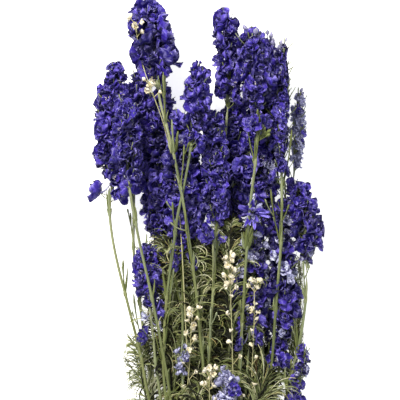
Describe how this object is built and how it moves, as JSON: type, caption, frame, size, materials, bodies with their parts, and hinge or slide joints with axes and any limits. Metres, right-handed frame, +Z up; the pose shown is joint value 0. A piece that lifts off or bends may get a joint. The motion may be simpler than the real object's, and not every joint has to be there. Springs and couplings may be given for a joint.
{
  "type": "bunch of dried larkspur",
  "caption": "Bunch of dried violet larkspur lying on its side: long flower spikes, feathery leaves and pale sprigs, held near the cut ends by a rubber band.",
  "frame": {"origin": "under the middle of the bunch, on the surface that it lies on", "axes": "+Y along the stems from the cut ends to the flower tips, +X across the bunch, +Z up from the surface"},
  "size_m": [0.2238, 0.7, 0.075],
  "materials": {
    "petal_violet": "dried petals, matt and papery, crumpled, with near-black folds and bright violet edges",
    "stem_green": "dried stems, matt olive to straw green, finely ribbed",
    "leaf_olive": "dried thread-like leaves, matt grey-olive",
    "flower_cream": "small dried flowers and buds, matt cream to straw",
    "rubber_tan": "natural latex band, smooth and slightly waxy"
  },
  "bodies": {
    "root": {"raceme_01": "petal_violet", "raceme_02": "petal_violet", "raceme_03": "petal_violet", "raceme_04": "petal_violet", "raceme_05": "petal_violet", "raceme_06": "petal_violet", "raceme_07": "petal_violet", "raceme_08": "petal_violet", "raceme_09": "petal_violet", "raceme_10": "petal_violet", "raceme_11": "petal_violet", "raceme_12": "petal_violet", "raceme_13": "petal_violet", "raceme_14": "petal_violet", "raceme_15": "petal_violet", "raceme_16": "petal_violet", "raceme_17": "petal_violet", "raceme_18": "petal_violet", "raceme_19": "petal_violet", "raceme_20": "petal_violet", "raceme_21": "petal_violet", "stem_01": "stem_green", "stem_02": "stem_green", "stem_03": "stem_green", "stem_04": "stem_green", "stem_05": "stem_green", "stem_06": "stem_green", "stem_07": "stem_green", "stem_08": "stem_green", "stem_09": "stem_green", "stem_10": "stem_green", "stem_11": "stem_green", "stem_12": "stem_green", "stem_13": "stem_green", "stem_14": "stem_green", "stem_15": "stem_green", "stem_16": "stem_green", "stem_17": "stem_green", "stem_18": "stem_green", "stem_19": "stem_green", "stem_20": "stem_green", "stem_21": "stem_green", "pale_sprig_01": "flower_cream", "pale_sprig_02": "flower_cream", "pale_sprig_03": "flower_cream", "pale_sprig_04": "flower_cream", "pale_sprig_05": "flower_cream", "leaf_tuft_01": "leaf_olive", "leaf_tuft_02": "leaf_olive", "leaf_tuft_03": "leaf_olive", "leaf_tuft_04": "leaf_olive", "leaf_tuft_05": "leaf_olive", "leaf_tuft_06": "leaf_olive", "leaf_tuft_07": "leaf_olive", "leaf_tuft_08": "leaf_olive", "leaf_tuft_09": "leaf_olive", "leaf_tuft_10": "leaf_olive", "leaf_tuft_11": "leaf_olive", "leaf_tuft_12": "leaf_olive", "rubber_band": "rubber_tan"}
  },
  "joints": []
}
